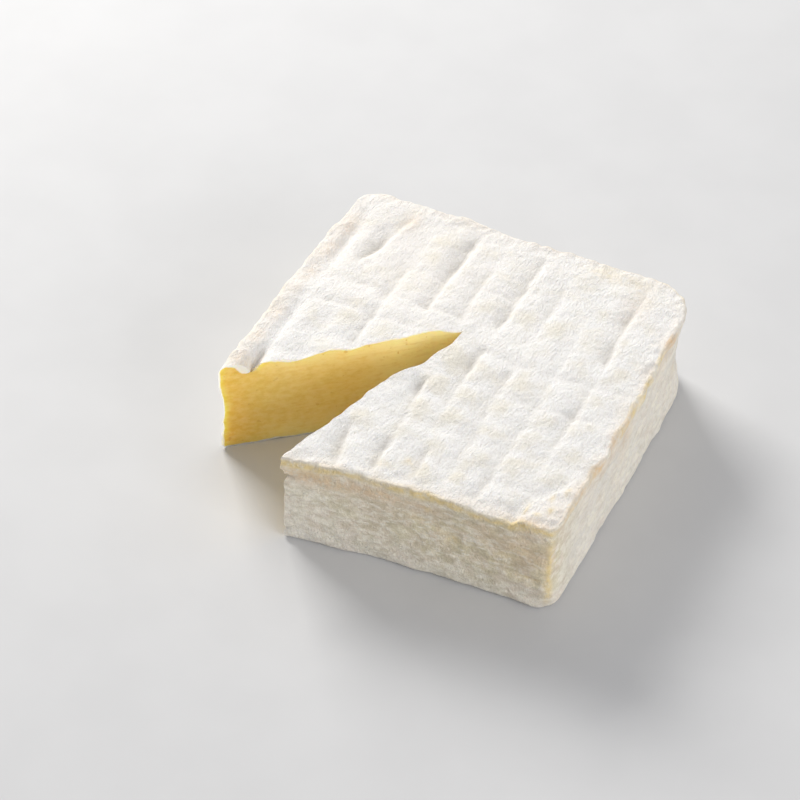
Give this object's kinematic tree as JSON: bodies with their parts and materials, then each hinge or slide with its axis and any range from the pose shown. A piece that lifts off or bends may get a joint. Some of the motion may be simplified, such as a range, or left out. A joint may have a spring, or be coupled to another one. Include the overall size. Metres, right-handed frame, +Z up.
{
  "type": "cheese wheel",
  "caption": "Flat square soft-ripened cheese with a white bloomy rind and a narrow wedge cut out from its middle to one corner.",
  "frame": {"origin": "middle of the bounding box, on the flat underside the cheese rests on", "axes": "+Z up through the thickness; +Y towards the back, along the slightly longer sides; the wedge is missing at -X, -Y"},
  "size_m": [0.1104, 0.1134, 0.0308],
  "materials": {
    "rind": "dry, matt white mould rind; the two cut faces are smooth, moist, cream to golden paste"
  },
  "bodies": {
    "root": {"cheese_wheel": "rind"}
  },
  "joints": []
}
